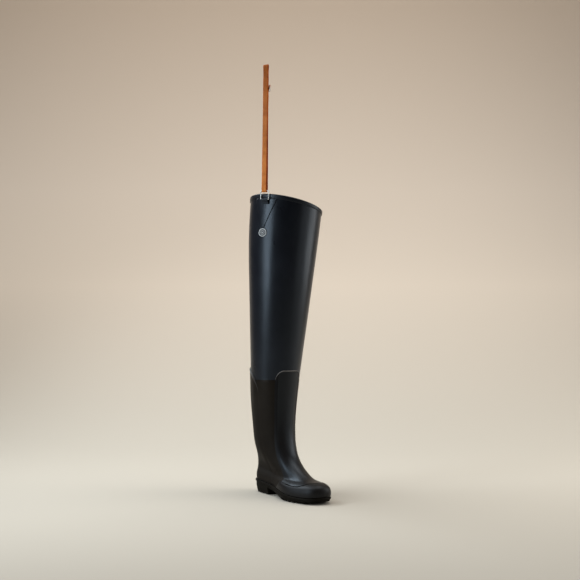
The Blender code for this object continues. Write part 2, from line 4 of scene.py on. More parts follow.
import bpy
import numpy as np
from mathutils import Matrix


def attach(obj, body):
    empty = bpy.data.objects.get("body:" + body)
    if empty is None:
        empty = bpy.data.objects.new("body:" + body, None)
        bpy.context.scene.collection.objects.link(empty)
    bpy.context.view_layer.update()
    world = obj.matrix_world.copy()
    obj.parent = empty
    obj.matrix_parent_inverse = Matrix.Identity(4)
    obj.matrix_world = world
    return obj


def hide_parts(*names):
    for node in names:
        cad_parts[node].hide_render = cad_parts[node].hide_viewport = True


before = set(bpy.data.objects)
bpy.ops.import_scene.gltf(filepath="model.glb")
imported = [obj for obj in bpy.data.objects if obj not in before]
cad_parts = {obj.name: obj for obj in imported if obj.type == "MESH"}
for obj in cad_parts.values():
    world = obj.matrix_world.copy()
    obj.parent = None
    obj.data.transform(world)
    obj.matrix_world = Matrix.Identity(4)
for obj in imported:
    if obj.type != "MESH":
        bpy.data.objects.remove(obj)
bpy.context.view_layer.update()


# The upper
# One skin of natural rubber over a knitted lining, laid up in sheets on the last and cured whole.
# The lower boot laps over the thigh shaft, which leaves a low step across the side of the knee.

Section = namedtuple("Section", "name back_x back_z front_x front_z outer inner plan roll sway")

sections = [
    Section("feather edge", 0.0050, 0.0370, 0.2938, 0.0195, 0.0495, 0.0470, 1.00, 0.0, 0.0),
    Section("side wall", 0.0030, 0.0460, 0.2955, 0.0290, 0.0500, 0.0474, 1.00, 0.0, 0.0),
    Section("toe crown", 0.0020, 0.0540, 0.2935, 0.0405, 0.0480, 0.0463, 0.97, 0.0, 0.0),
    Section("toe top", 0.0005, 0.0640, 0.2800, 0.0490, 0.0410, 0.0418, 0.92, 0.0, 0.0),
    Section("vamp", 0.0000, 0.0755, 0.2390, 0.0558, 0.0350, 0.0334, 0.82, 0.0, 0.0),
    Section("vamp rise", 0.0015, 0.0875, 0.2015, 0.0705, 0.0355, 0.0355, 0.66, 0.0, 0.0),
    Section("instep", 0.0048, 0.1005, 0.1708, 0.0895, 0.0403, 0.0402, 0.45, 0.0, 0.0),
    Section("throat", 0.0068, 0.1165, 0.1470, 0.1160, 0.0462, 0.0460, 0.22, 0.0, 0.0),
    Section("ankle", 0.0048, 0.1385, 0.1352, 0.1488, 0.0517, 0.0517, 0.06, 0.0, 0.0),
    Section("lower leg", -0.0010, 0.1785, 0.1310, 0.1885, 0.0540, 0.0550, 0.00, 0.0, 0.0),
    Section("calf", -0.0070, 0.2585, 0.1350, 0.2645, 0.0605, 0.0615, 0.00, 0.0, 0.0),
    Section("knee", -0.0058, 0.3435, 0.1466, 0.3465, 0.0668, 0.0682, 0.00, 0.0005, 0.0),
    Section("lower thigh", -0.0040, 0.4285, 0.1600, 0.4315, 0.0741, 0.0745, 0.00, 0.002, 0.0015),
    Section("mid thigh", -0.0038, 0.5885, 0.1856, 0.5925, 0.0858, 0.0865, 0.00, 0.007, 0.004),
    Section("upper thigh", -0.0020, 0.7185, 0.2025, 0.7235, 0.0945, 0.0950, 0.00, 0.014, 0.008),
    Section("collar", 0.0045, 0.7975, 0.2145, 0.8030, 0.0957, 0.0962, 0.00, 0.0258, 0.010),
]
section_shapes = np.array([row[1:] for row in sections])

Station = namedtuple("Station", "along outer inner")

foot_outline = [
    Station(0.12, 0.0320, 0.0320),
    Station(0.40, 0.0375, 0.0330),
    Station(0.69, 0.0490, 0.0475),
    Station(0.88, 0.0375, 0.0400),
]
heel_round = 0.033
toe_round = 0.040
toe_swing = 0.009  # the toe's lean to the inner side
swing_start = 0.35  # share of the foot's length where that lean starts

Seat = namedtuple("Seat", "along height")

sole_seat = [
    Seat(0.00, 0.0370),
    Seat(0.20, 0.0350),
    Seat(0.34, 0.0315),
    Seat(0.50, 0.0270),
    Seat(0.62, 0.0215),
    Seat(0.72, 0.0175),
    Seat(0.85, 0.0160),
    Seat(0.93, 0.0170),
    Seat(1.00, 0.0195),
]

heel_centre = 0.046  # the last's x at the frame's origin
wall = 0.0022


def spline(knots, values):
    """A natural cubic through the values at the knots."""
    knots, values = np.asarray(knots, float), np.asarray(values, float)
    gap = np.diff(knots)
    slope = np.diff(values, axis=0) / gap.reshape(-1, *[1] * (values.ndim - 1))
    count = len(knots)
    system = np.eye(count)
    right = np.zeros_like(values)
    for i in range(1, count - 1):
        system[i, i - 1 : i + 2] = gap[i - 1], 2 * (gap[i - 1] + gap[i]), gap[i]
        right[i] = 6 * (slope[i] - slope[i - 1])
    bend = np.linalg.solve(system, right)

    def at(where):
        where = np.asarray(where, float)
        i = np.clip(np.searchsorted(knots, where, "right") - 1, 0, count - 2)
        shape = where.shape + (1,) * (values.ndim - 1)
        low = (where - knots[i]).reshape(shape)
        high = (knots[i + 1] - where).reshape(shape)
        span = gap[i].reshape(shape)
        return (
            (bend[i] * high**3 + bend[i + 1] * low**3) / (6 * span)
            + (values[i] / span - bend[i] * span / 6) * high
            + (values[i + 1] / span - bend[i + 1] * span / 6) * low
        )

    return at


def section_levels():
    """Distance up the skin to each section, as the mean of its back and front runs."""
    back = np.linalg.norm(np.diff(section_shapes[:, 0:2], axis=0), axis=1)
    front = np.linalg.norm(np.diff(section_shapes[:, 2:4], axis=0), axis=1)
    return np.concatenate([[0.0], np.cumsum((back + front) / 2)])


levels = section_levels()
collar_level = levels[-1]
shape_at = spline(levels, section_shapes)
seat_height = spline(*zip(*sole_seat))


def outline_shares():
    """Half width of the foot over that of an oval of the same length."""
    length = sections[0].front_x - sections[0].back_x
    widest = max(row.outer for row in foot_outline)
    knots, shares = [0.0], [[math.sqrt(heel_round * length / 2) / widest] * 2]
    for row in foot_outline:
        oval = 2 * math.sqrt(row.along * (1 - row.along))
        knots.append(row.along)
        shares.append([row.outer / widest / oval, row.inner / widest / oval])
    knots.append(1.0)
    shares.append([math.sqrt(toe_round * length / 2) / widest] * 2)
    return spline(knots, shares)


foot_share = outline_shares()


def skin(turn, level):
    """The upper's outer face. turn runs from the back (0) by the outer side to the front (pi) and on."""
    turn, level = np.broadcast_arrays(np.asarray(turn, float), np.asarray(level, float))
    back_x, back_z, front_x, front_z, outer, inner, plan, roll, sway = np.moveaxis(shape_at(level), -1, 0)
    along = (1 - np.cos(turn)) / 2
    across = np.sin(turn)
    shares = foot_share(along)
    is_outer = across >= 0
    half = np.where(is_outer, outer, inner)
    half = half * (1 - plan + plan * np.where(is_outer, shares[..., 0], shares[..., 1]))
    swing = toe_swing * plan * np.clip((along - swing_start) / (1 - swing_start), 0, 1) ** 2
    seat_line = sole_seat[0].height + (sole_seat[-1].height - sole_seat[0].height) * along
    x = back_x + (front_x - back_x) * along - heel_centre
    y = sway + swing - half * across
    z = back_z + (front_z - back_z) * along + plan * (seat_height(along) - seat_line) + roll * across
    return np.stack([x, y, z], -1)


def skin_normal(turn, level):
    """Unit normals of the outer face, pointing out of the boot."""
    round_way = skin(turn + 1e-3, level) - skin(turn - 1e-3, level)
    up_way = skin(turn, level + 1e-4) - skin(turn, level - 1e-4)
    normal = np.cross(round_way, up_way)
    return normal / np.linalg.norm(normal, axis=-1, keepdims=True)


def raised(turn, level, height):
    """A point at this height over the outer face, or inside it where the height is negative."""
    turn, level = np.broadcast_arrays(np.asarray(turn, float), np.asarray(level, float))
    return skin(turn, level) + np.asarray(height)[..., None] * skin_normal(turn, level)


def smooth_step(low, high, value):
    share = np.clip((value - low) / (high - low), 0, 1)
    return share * share * (3 - 2 * share)


def smooth_mesh(name, points, faces, finishes):
    """A smooth-shaded mesh in the scene."""
    mesh = bpy.data.meshes.new(name)
    mesh.from_pydata([tuple(point) for point in points], [], [tuple(face) for face in faces])
    for finish in finishes:
        mesh.materials.append(finish)
    mesh.shade_smooth()
    piece = bpy.data.objects.new(name, mesh)
    bpy.context.scene.collection.objects.link(piece)
    return piece


def mesh_piece(name, points, faces, finishes, sharp=math.radians(40)):
    """A smooth mesh with sharp corners that rides on the boot."""
    piece = smooth_mesh(name, points, faces, finishes)
    piece.data.set_sharp_from_angle(angle=sharp)
    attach(piece, "root")
    return piece


def grid_faces(rows, columns, closed=False):
    last = columns if closed else columns - 1
    faces = []
    for i in range(rows - 1):
        for j in range(last):
            k = (j + 1) % columns
            faces.append((i * columns + j, i * columns + k, (i + 1) * columns + k, (i + 1) * columns + j))
    return faces


def new_finish(name):
    """A material with its shader and node tree."""
    finish = bpy.data.materials.new(name)
    finish.use_nodes = True
    tree = finish.node_tree
    return finish, tree, tree.nodes["Principled BSDF"]


def add_node(tree, kind, **values):
    """A node of a finish, with the values of its inputs; _ stands for a space in their names."""
    node = tree.nodes.new("ShaderNode" + kind)
    for socket, value in values.items():
        node.inputs[socket.replace("_", " ")].default_value = value
    return node


def noise_of(tree, scale, detail=3.0, roughness=0.5, distortion=0.0, stretch=(1.0, 1.0, 1.0)):
    """Noise over the object's own coordinates, in metres."""
    where = add_node(tree, "TexCoord")
    mapping = add_node(tree, "Mapping", Scale=stretch)
    noise = add_node(
        tree, "TexNoise", Scale=scale, Detail=detail, Roughness=roughness, Distortion=distortion
    )
    tree.links.new(where.outputs["Object"], mapping.inputs["Vector"])
    tree.links.new(mapping.outputs["Vector"], noise.inputs["Vector"])
    return noise.outputs["Fac"]


def ramp_of(tree, value, stops):
    """Colours or grey values along a 0 to 1 input."""
    ramp = add_node(tree, "ValToRGB")
    ramp.color_ramp.elements[0].position = stops[0][0]
    ramp.color_ramp.elements[0].color = (*stops[0][1], 1.0)
    ramp.color_ramp.elements[1].position = stops[-1][0]
    ramp.color_ramp.elements[1].color = (*stops[-1][1], 1.0)
    for place, colour in stops[1:-1]:
        stop = ramp.color_ramp.elements.new(place)
        stop.color = (*colour, 1.0)
    tree.links.new(value, ramp.inputs["Fac"])
    return ramp.outputs["Color"]


def spread_of(tree, value, low, high):
    """A 0 to 1 input spread over a range."""
    spread = add_node(tree, "MapRange", From_Min=0.25, From_Max=0.75, To_Min=low, To_Max=high)
    tree.links.new(value, spread.inputs["Value"])
    return spread.outputs["Result"]


def bump_of(tree, height, distance, strength=1.0, under=None):
    bump = add_node(tree, "Bump", Strength=strength, Distance=distance)
    tree.links.new(height, bump.inputs["Height"])
    if under is not None:
        tree.links.new(under, bump.inputs["Normal"])
    return bump.outputs["Normal"]


def satin_rubber(name, dark, bloom, roughness, gloss=0.2, tint=(1.0, 1.0, 1.0), grain=0.00005):
    """Cured rubber: a faint grey bloom in patches, an uneven sheen and a fine skin grain."""
    finish, tree, shader = new_finish(name)
    patches = noise_of(tree, 9.0, 4.0, 0.6, 0.6)
    tree.links.new(ramp_of(tree, patches, [(0.35, dark), (0.75, bloom)]), shader.inputs["Base Color"])
    sheen = noise_of(tree, 38.0, 4.0, 0.6, stretch=(1.0, 1.0, 0.35))
    tree.links.new(spread_of(tree, sheen, roughness - 0.05, roughness + 0.06), shader.inputs["Roughness"])
    waves = bump_of(tree, noise_of(tree, 22.0, 2.0, 0.4, stretch=(1.0, 1.0, 0.5)), 0.0009, 0.5)
    skin_grain = bump_of(tree, noise_of(tree, 900.0, 2.0), grain, 0.6, waves)
    tree.links.new(skin_grain, shader.inputs["Normal"])
    shader.inputs["Specular IOR Level"].default_value = gloss
    shader.inputs["Specular Tint"].default_value = (*tint, 1.0)
    return finish


def height_of(tree, low, high):
    """0 to 1 over a range of heights."""
    where = add_node(tree, "TexCoord")
    parts = add_node(tree, "SeparateXYZ")
    height = add_node(tree, "MapRange", From_Min=low, From_Max=high)
    tree.links.new(where.outputs["Object"], parts.inputs["Vector"])
    tree.links.new(parts.outputs["Z"], height.inputs["Value"])
    return height.outputs["Result"]


def scuffed(finish, low, high, below, above):
    """Scuffs that dull the rubber: what they add to its roughness at a low and at a high place."""
    tree = finish.node_tree
    roughness = tree.nodes["Principled BSDF"].inputs["Roughness"]
    scuffs = add_node(tree, "MapRange", To_Min=below, To_Max=above)
    dulled = add_node(tree, "Math")
    dulled.operation = "ADD"
    tree.links.new(height_of(tree, low, high), scuffs.inputs["Value"])
    tree.links.new(roughness.links[0].from_socket, dulled.inputs[0])
    tree.links.new(scuffs.outputs["Result"], dulled.inputs[1])
    tree.links.new(dulled.outputs["Value"], roughness)
    return finish


def knit_lining(name, pale, deep):
    """A knitted lining: columns of small loops that show as fine ribs."""
    finish, tree, shader = new_finish(name)
    patches = noise_of(tree, 60.0, 3.0)
    tree.links.new(ramp_of(tree, patches, [(0.3, deep), (0.7, pale)]), shader.inputs["Base Color"])
    loops = noise_of(tree, 700.0, 1.0, stretch=(1.0, 1.0, 0.4))
    tree.links.new(bump_of(tree, loops, 0.0004, 0.8), shader.inputs["Normal"])
    shader.inputs["Roughness"].default_value = 0.95
    shader.inputs["Sheen Weight"].default_value = 0.3
    return finish


knee_lap = 0.3185  # height of the lap between lower boot and thigh shaft
lap_step = 0.0006
lap_half = 0.0012  # half the height over which the step is rounded


def face_height(turn, level):
    """Height of the upper's face over the skin: the thigh shaft lies a step lower than the lower boot."""
    return -lap_step * smooth_step(knee_lap - lap_half, knee_lap + lap_half, skin(turn, level)[..., 2])


upper_around = 200
foot_level = 0.18  # level below which the rows of the mesh lie closer
upper_turns = np.arange(upper_around)[None] * 2 * math.pi / upper_around
foot_rows = np.linspace(0.0, foot_level, 66)[:-1]
leg_rows = np.linspace(foot_level, collar_level, 150)
upper_levels = np.concatenate([foot_rows, leg_rows])[:, None]
upper_grid = raised(upper_turns, upper_levels, face_height(upper_turns, upper_levels))
cool_sheen = (0.72, 0.86, 1.0)
upper_rubber = satin_rubber(
    "shaft rubber",
    dark=(0.0042, 0.0048, 0.0074),
    bloom=(0.0080, 0.0091, 0.0132),
    roughness=0.31,
    gloss=0.28,
    tint=cool_sheen,
)
boot_rubber = satin_rubber(
    "boot rubber",
    dark=(0.0050, 0.0037, 0.0027),
    bloom=(0.0082, 0.0064, 0.0049),
    roughness=0.34,
    gloss=0.11,
    tint=(1.0, 0.92, 0.84),
)
scuffed(boot_rubber, low=0.20, high=knee_lap, below=0.32, above=0.0)
lining = knit_lining("knit lining", (0.20, 0.20, 0.21), (0.12, 0.12, 0.125))
upper = mesh_piece(
    "boot_upper",
    upper_grid.reshape(-1, 3),
    grid_faces(*upper_grid.shape[:2], closed=True),
    [upper_rubber, boot_rubber, lining, lining],
)
for face in upper.data.polygons:
    face.material_index = int(face.center.z < knee_lap)
upper_wall = upper.modifiers.new("Wall", "SOLIDIFY")
upper_wall.thickness = wall - lap_step
upper_wall.offset = -1
upper_wall.material_offset = 2
upper_wall.use_rim = True
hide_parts("upper")


# The outsole
# One moulding of hard black rubber: a ledge that the upper stands on, a welt rib round it, a stacked
# heel and blocks of tread in a chevron. It is cured on to the upper's feather edge.

Under = namedtuple("Under", "x height")

underside = [
    Under(0.0000, 0.0050),
    Under(0.0125, 0.0000),
    Under(0.0860, 0.0000),
    Under(0.0885, 0.0160),
    Under(0.1030, 0.0162),
    Under(0.1250, 0.0135),
    Under(0.1500, 0.0080),
    Under(0.1700, 0.0030),
    Under(0.1850, 0.0000),
    Under(0.2500, 0.0000),
    Under(0.2680, 0.0026),
    Under(0.2860, 0.0064),
    Under(0.3000, 0.0105),
]

Tread = namedtuple("Tread", "first block groove count")

treads = [
    Tread(0.0075, 0.0110, 0.0045, 5),
    Tread(0.1690, 0.0115, 0.0050, 7),
]
groove_deep = 0.004
groove_flank = 0.0008
station_apart = 0.003

Lead = namedtuple("Lead", "x forward")

leads = [
    Lead(0.008, 0.000),
    Lead(0.020, 0.004),
    Lead(0.080, 0.004),
    Lead(0.086, 0.002),
    Lead(0.150, 0.002),
    Lead(0.168, 0.007),
    Lead(0.250, 0.007),
    Lead(0.290, 0.000),
]

SoleRow = namedtuple("SoleRow", "name share below margin heel_margin")

sole_rows = [
    SoleRow("tread edge", 0.00, 0.0000, -0.0015, -0.0012),
    SoleRow("tread corner", 0.06, 0.0000, -0.0008, -0.0004),
    SoleRow("side", 0.60, 0.0060, 0.0014, 0.0034),
    SoleRow("under the welt", 1.00, 0.0064, 0.0014, 0.0036),
    SoleRow("welt root", 1.00, 0.0060, 0.0018, 0.0040),
    SoleRow("welt low", 1.00, 0.0056, 0.0031, 0.0053),
    SoleRow("welt edge", 1.00, 0.0051, 0.0036, 0.0058),
    SoleRow("welt face", 1.00, 0.0016, 0.0036, 0.0058),
    SoleRow("welt round", 1.00, 0.0008, 0.0034, 0.0056),
    SoleRow("ledge", 1.00, 0.0003, 0.0028, 0.0050),
]
heel_end = 0.27
waist_start = 0.36
foot_back = sections[0].back_x
foot_long = sections[0].front_x - sections[0].back_x


def foot_edge(along, side, margin):
    """A point of the feather edge moved out by a margin; side is 1 on the outer side, -1 on the inner."""
    turn = side * np.arccos(np.clip(1 - 2 * along, -1, 1))
    edge = skin(turn, np.zeros_like(turn))[..., :2]
    way = skin(turn + 1e-3, 0.0)[..., :2] - skin(turn - 1e-3, 0.0)[..., :2]
    normal = np.stack([way[..., 1], -way[..., 0]], -1)
    normal /= np.linalg.norm(normal, axis=-1, keepdims=True)
    return edge + np.asarray(margin)[..., None] * normal


def sole_stations():
    """Stations along the sole, close together, with the depth of the tread's groove at each."""
    found = {}
    for angle in np.linspace(0, math.pi, 121):
        found[(1 - math.cos(angle)) / 2] = 0.0
    for spot in underside[2:-3]:
        found[(spot.x - foot_back) / foot_long] = 0.0
    for tread in treads:
        for k in range(tread.count - 1):
            start = (tread.first + k * (tread.block + tread.groove) + tread.block - foot_back) / foot_long
            end = start + tread.groove / foot_long
            for place in [key for key in found if start - station_apart < key < end + station_apart]:
                del found[place]
            flank = groove_flank / foot_long
            found.update({start: 0.0, start + flank: groove_deep, end - flank: groove_deep, end: 0.0})
    along = np.array(sorted(found))
    return along, np.array([found[value] for value in along])


def sole_side(row, along, deep, side):
    """One side's points of a row of the sole."""
    heel = 1 - smooth_step(heel_end, waist_start, along)
    edge = foot_edge(along, side, row.margin + (row.heel_margin - row.margin) * heel)
    under = np.interp(edge[:, 0] + heel_centre, *zip(*underside))
    bottom = under + deep * (row.share < 0.1)
    height = bottom + row.share * (seat_height(along) - row.below - bottom)
    return np.column_stack([edge, height])


sole_along, sole_deep = sole_stations()
sole_count = len(sole_along)
sole_loop = 2 * sole_count - 2
sole_points = []
for row in sole_rows:
    sole_points += list(sole_side(row, sole_along, sole_deep, 1))
    sole_points += list(sole_side(row, sole_along, sole_deep, -1)[1:-1][::-1])
sole_faces = grid_faces(len(sole_rows), sole_loop, closed=True)


def sole_inner(k):
    return k if k in (0, sole_count - 1) else sole_loop - k


sole_middle = [0]
for k in range(1, sole_count - 1):
    centre = (np.array(sole_points[k]) + np.array(sole_points[sole_inner(k)])) / 2
    lead = np.interp(centre[0] + heel_centre, *zip(*leads))
    sole_middle.append(len(sole_points))
    sole_points.append(centre + np.array([lead, 0.0, 0.0]))
sole_middle.append(sole_count - 1)
sole_top = (len(sole_rows) - 1) * sole_loop
for k in range(sole_count - 1):
    for face in (
        (k, sole_middle[k], sole_middle[k + 1], k + 1),
        (sole_middle[k], sole_inner(k), sole_inner(k + 1), sole_middle[k + 1]),
        (sole_top + k, sole_top + k + 1, sole_top + sole_inner(k + 1), sole_top + sole_inner(k)),
    ):
        corners = tuple(dict.fromkeys(face))
        if len(corners) > 2:
            sole_faces.append(corners)
sole_rubber = satin_rubber(
    "sole rubber",
    dark=(0.0040, 0.0033, 0.0022),
    bloom=(0.0080, 0.0066, 0.0046),
    roughness=0.62,
    gloss=0.06,
    grain=0.00009,
)
outsole = mesh_piece("boot_outsole", sole_points, sole_faces, [sole_rubber], math.radians(30))
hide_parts("outsole")


# The insole
# A board of needled felt, cut to the inside of the upper and laid loose on the sole.

insole_thick = 0.0035
insole_play = 0.0012  # from its edge to the inside of the upper
insole_cut = 0.05  # how far the heel and toe ends are cut short, as an angle of the outline
insole_angle = np.linspace(insole_cut, math.pi - insole_cut, 61)
insole_along = (1 - np.cos(insole_angle)) / 2
insole_margin = np.full_like(insole_along, -(wall + insole_play))
insole_inner = foot_edge(insole_along, -1, insole_margin)
insole_outer = foot_edge(insole_along, 1, insole_margin)
insole_rows = []
for share in np.linspace(0, 1, 13):
    insole_place = insole_inner + (insole_outer - insole_inner) * share
    insole_rows.append(np.column_stack([insole_place, seat_height(insole_along)]))
insole_grid = np.stack(insole_rows)


def felt(name, pale, deep):
    """Needled felt: matted fibres with a fleck in them."""
    finish, tree, shader = new_finish(name)
    flecks = noise_of(tree, 420.0, 4.0, 0.7)
    tree.links.new(ramp_of(tree, flecks, [(0.3, deep), (0.7, pale)]), shader.inputs["Base Color"])
    fibres = noise_of(tree, 1100.0, 2.0, distortion=1.5)
    tree.links.new(bump_of(tree, fibres, 0.0005, 0.9), shader.inputs["Normal"])
    shader.inputs["Roughness"].default_value = 1.0
    return finish


insole = mesh_piece(
    "boot_insole",
    insole_grid.reshape(-1, 3),
    grid_faces(*insole_grid.shape[:2]),
    [felt("insole felt", (0.16, 0.16, 0.165), (0.07, 0.07, 0.075))],
)
insole_board = insole.modifiers.new("Board", "SOLIDIFY")
insole_board.thickness = insole_thick
insole_board.offset = 1
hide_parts("insole")


# The rand
# A thicker band of rubber round the toe and the ball, against knocks. It is laid over the upper before
# curing, so its upper edge shows as a low rounded step.

layer_gap = 0.0008  # between the upper's face and a layer's, as in the solids
rand_thick = 0.0022
rand_end = math.radians(93)
rand_slant = math.radians(9)
rand_low = 0.0014
rand_side = 0.0240  # level of its upper edge along the sides
rand_toe = 0.0165  # how much higher that edge is over the toe
rand_front = math.radians(20)
rand_flank = math.radians(60)
edge_sink = 0.0002  # how far a layer's edge goes into the face under it


def rand_top(turn):
    """Level of the rand's upper edge: high over the toe and lower along the sides."""
    front = np.abs(np.asarray(turn) - math.pi)
    return rand_side + rand_toe * (1 - smooth_step(rand_front, rand_flank, front))


def edge_shares(count, first):
    """Shares from 0 to 1 that crowd towards both ends, so that an edge can be rounded there."""
    ends = np.array([0.0, 0.15, 0.4, 0.7, 1.0]) * first
    return np.concatenate([ends, np.linspace(first, 1 - first, count)[1:-1], 1 - ends[::-1]])


cut_edge = (0.0, 0.62, 0.86, 0.96)


def layer(name, place, rows, columns, thick, finishes, ends=cut_edge, sides=cut_edge, gap=layer_gap):
    """A closed sheet laid on the upper. place gives turn and level for shares up and across it.

    ends and sides are the profiles of its edges, which come down to the upper's face. A second finish
    goes on the lip along its upper edge, where the panels carry a lighter painted highlight, and a third
    on its two sides.
    """
    turn, level = place(*np.meshgrid(rows, columns, indexing="ij"))
    edge = len(ends)  # rows that an edge takes up
    row_rise = np.array([*ends, *np.ones(len(rows) - 2 * edge), *ends[::-1]])
    column_rise = np.array([*sides, *np.ones(len(columns) - 2 * edge), *sides[::-1]])
    rise = row_rise[:, None] * column_rise[None]
    low = face_height(turn, level) - edge_sink
    grid = raised(turn, level, low + rise * (thick + gap - edge_sink - low))
    under = raised(turn, level, low)[1:-1, 1:-1]
    number = np.arange(turn.size).reshape(turn.shape)
    number[1:-1, 1:-1] = turn.size + np.arange(under[..., 0].size).reshape(under.shape[:2])
    outside = grid_faces(len(rows), len(columns))
    inside = []
    for face in outside:
        corners = [int(number.flat[corner]) for corner in face[::-1]]
        deep = [k for k in range(4) if corners[k] >= turn.size]
        if len(deep) == 1:  # a corner of the sheet, split so that it can't fold flat on the upper side's
            corners = corners[deep[0] :] + corners[: deep[0]]
            inside += [corners[:3], [corners[0], *corners[2:]]]
        else:
            inside.append(corners)
    points = np.concatenate([grid.reshape(-1, 3), under.reshape(-1, 3)])
    piece = mesh_piece(name, points, outside + inside, finishes)
    across = len(columns) - 1
    if len(finishes) > 2:
        for face in piece.data.polygons[: len(outside)]:
            column = face.index % across
            face.material_index = 2 * int(min(column, across - 1 - column) < edge)
    if len(finishes) > 1:
        for face in piece.data.polygons[(len(rows) - edge) * across : len(outside)]:
            face.material_index = 1
    return piece


def rand_place(up, across):
    turn = math.pi + (2 * across - 1) * (rand_end - rand_slant * up)
    return turn, rand_low + (rand_top(turn) - rand_low) * up


panel_tones = (0.0056, 0.0046, 0.0042), (0.0094, 0.0080, 0.0074)
rand_rubber = satin_rubber(
    "rand rubber", *panel_tones, roughness=0.45, gloss=0.16, tint=(0.80, 0.90, 1.0)
)
rand = layer(
    "boot_rand",
    rand_place,
    edge_shares(count=26, first=0.05),
    edge_shares(count=150, first=0.006),
    rand_thick,
    [rand_rubber],
)
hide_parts("rand")


# The shin panel
# A second sheet of rubber over the vamp, instep and shin, which take most of the wear. Its upper corners
# are cut round, and its sides swing back along the foot down to the rand.

panel_thick = 0.0012
panel_part = 0.0010  # between the rand's edge and the panel's
panel_crowd = 1.2  # rows of the mesh lie closer at the foot by this power
shin_top = 0.3465
shin_corner = 0.036  # how far its rounded corners drop
shin_straight = 0.45  # share of its upper edge that runs straight
first_level = 0.035  # where the search for its rows starts

Sweep = namedtuple("Sweep", "level degrees")

shin_sweep = [
    Sweep(0.024, 84),
    Sweep(0.060, 70),
    Sweep(0.100, 56),
    Sweep(0.150, 44),
    Sweep(0.220, 38),
    Sweep(0.330, 37),
    Sweep(0.480, 37),
]
shin_reach = spline([row.level for row in shin_sweep], [math.radians(row.degrees) for row in shin_sweep])
feather_edge = (0.0, 0.20, 0.55, 0.88)
lip_edge = (0.0, 0.95, 1.35, 1.25)

panel_sheen = (0.66, 0.83, 1.0)
panel_rubber = satin_rubber("panel rubber", *panel_tones, roughness=0.38, gloss=0.25, tint=panel_sheen)
# A painted highlight: the lip's rubber is far lighter than the panel's, in place of the overhead light on
# its upper edge.
lip_highlight_rubber = satin_rubber(
    "panel lip painted highlight", dark=(0.080, 0.076, 0.074), bloom=(0.130, 0.124, 0.120), roughness=0.50
)
side_rubber = satin_rubber("panel side", *panel_tones, roughness=0.42, gloss=0.14, tint=panel_sheen)
scuffed(side_rubber, low=0.07, high=0.20, below=0.0, above=0.45)


def level_at_height(turn, height):
    """Level on the skin of a height at this turn."""
    run = np.linspace(0.0, collar_level, 600)
    return float(np.interp(height, skin(np.full(600, turn), run)[:, 2], run))


shin_top_level = level_at_height(math.pi, shin_top)


def shin_place(up, across):
    side = 2 * across - 1
    corner = np.clip((np.abs(side) - shin_straight) / (1 - shin_straight), 0, 1)
    upper_edge = shin_top_level - shin_corner * (1 - np.sqrt(1 - corner**2))
    level = np.full_like(up, first_level)
    for _ in range(6):  # the reach depends on the level, so both settle together
        turn = math.pi + side * shin_reach(level)
        low = rand_top(turn) + panel_part
        level = low + (upper_edge - low) * up**panel_crowd
    return turn, level


shin_panel = layer(
    "boot_shin_panel",
    shin_place,
    edge_shares(count=130, first=0.010),
    edge_shares(count=70, first=0.110),
    panel_thick,
    [panel_rubber, lip_highlight_rubber, side_rubber],
    lip_edge,
    feather_edge,
)
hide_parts("shin_panel")


# The calf panel
# The same doubling sheet round the heel and the calf, cut round at its upper corners. Its lower edge
# stands on the sole's ledge, and it is cured on together with the shin panel.

calf_top = 0.3505
calf_corner = 0.075
calf_straight = 0.30
calf_reach = math.radians(100)
heel_reach = math.radians(72)
heel_top = 0.02  # level where the panel starts to widen
calf_start = 0.16  # and where it has widened
calf_low = 0.0014
calf_top_level = level_at_height(0.0, calf_top)


def calf_place(up, across):
    side = 2 * across - 1
    corner = np.clip((np.abs(side) - calf_straight) / (1 - calf_straight), 0, 1)
    upper_edge = calf_top_level - calf_corner * (1 - np.sqrt(1 - corner**2))
    level = calf_low + (upper_edge - calf_low) * up**panel_crowd
    reach = heel_reach + (calf_reach - heel_reach) * smooth_step(heel_top, calf_start, level)
    return side * reach, level


# A painted highlight: a lighter rubber on the calf panel's upper edge, in place of the overhead light
# catching it.
calf_lip_highlight = satin_rubber(
    "calf lip painted highlight", dark=(0.036, 0.034, 0.033), bloom=(0.062, 0.059, 0.057), roughness=0.50
)
calf_panel = layer(
    "boot_calf_panel",
    calf_place,
    edge_shares(count=120, first=0.010),
    edge_shares(count=110, first=0.080),
    panel_thick,
    [boot_rubber, calf_lip_highlight],
    lip_edge,
    feather_edge,
)
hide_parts("calf_panel")


# The collar binding
# A strip of rubber folded over the raw edge at the collar and cured down on both faces, so that the
# lining doesn't fray. Its fold is round and its two edges are eased.

binding_tall = 0.009
binding_thick = 0.0009
binding_gap = 0.00045
binding_round = 0.0017  # height of its fold
edge_gap = 0.0003


def binding_profile():
    """Height over the upper's face and level, round the folded strip."""
    out = binding_gap + binding_thick
    within = -wall - binding_gap - binding_thick
    low = collar_level - binding_tall
    top = collar_level + edge_gap + binding_thick
    fold = (out - within) / 2
    middle = (out + within) / 2
    profile = [(-lap_step - edge_sink, low - 0.0004)]
    profile += [(out - 0.0005, low), (out - 0.0001, low + 0.0007)]
    profile += [(out, low + 0.003), (out + 0.00015, top - 0.0028)]
    for angle in np.radians(np.linspace(0, 180, 13)):
        rise = binding_round * (math.sin(angle) - 1)
        profile.append((middle + fold * math.cos(angle), top + rise))
    profile += [(within, low + 0.003), (within + 0.0004, low), (-wall + 0.0003, low - 0.0003)]
    return profile


